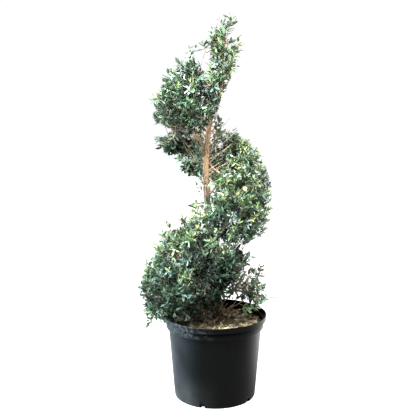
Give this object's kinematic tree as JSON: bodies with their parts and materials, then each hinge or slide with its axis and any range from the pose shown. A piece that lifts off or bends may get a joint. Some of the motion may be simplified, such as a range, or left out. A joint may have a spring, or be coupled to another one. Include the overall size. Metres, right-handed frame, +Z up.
{
  "type": "potted spiral topiary",
  "caption": "Evergreen shrub on one slim trunk, its small-leaved foliage clipped into a spiral that winds up round it, in a round black nursery pot filled with bark compost.",
  "frame": {"origin": "middle of the pot's flat underside", "axes": "+Z up along the pot's axis; +X to the right and +Y to the back as the plant is seen from the front, where the spiral's groove shows the trunk"},
  "size_m": [0.6223, 0.5752, 1.6867],
  "materials": {
    "pot": "black moulded plastic with a soft sheen, dusty and scuffed",
    "compost": "bark compost with dry leaves and chips on top",
    "bark": "fibrous grey-brown bark, orange-brown where it is young",
    "pale_bark": "thin pale tan bark",
    "foliage": "small glossy evergreen leaves, dark green above and paler below"
  },
  "bodies": {
    "root": {"pot": "pot", "compost": "compost", "trunk": "bark", "pruned_stub": "pale_bark", "bough_skirt_right": "bark", "foliage_skirt_right": "foliage", "bough_skirt_back_right": "bark", "foliage_skirt_back_right": "foliage", "bough_skirt_back_left": "bark", "foliage_skirt_back_left": "foliage", "bough_skirt_left": "bark", "foliage_skirt_left": "foliage", "bough_skirt_front_left": "bark", "foliage_skirt_front_left": "foliage", "bough_skirt_front": "bark", "foliage_skirt_front": "foliage", "bough_coil_right": "bark", "foliage_coil_right": "foliage", "bough_coil_back_right": "bark", "foliage_coil_back_right": "foliage", "bough_coil_back_left": "bark", "foliage_coil_back_left": "foliage", "bough_coil_left": "bark", "foliage_coil_left": "foliage", "bough_crown_front_left": "bark", "foliage_crown_front_left": "foliage", "bough_crown_front": "bark", "foliage_crown_front": "foliage", "bough_crown_right": "bark", "foliage_crown_right": "foliage", "bough_crown_back": "bark", "foliage_crown_back": "foliage", "bough_crown_left": "bark", "foliage_crown_left": "foliage", "bough_sprig_left": "bark", "foliage_sprig_left": "foliage", "bough_sprig_right": "bark", "foliage_sprig_right": "foliage", "bough_sprig_low": "bark", "foliage_sprig_low": "foliage", "bough_groove_1": "pale_bark", "bough_groove_2": "pale_bark", "bough_groove_3": "pale_bark", "bough_groove_4": "pale_bark", "bough_groove_5": "pale_bark", "bough_groove_6": "pale_bark", "bough_groove_7": "pale_bark", "bough_groove_8": "pale_bark", "foliage_tip": "foliage"}
  },
  "joints": []
}
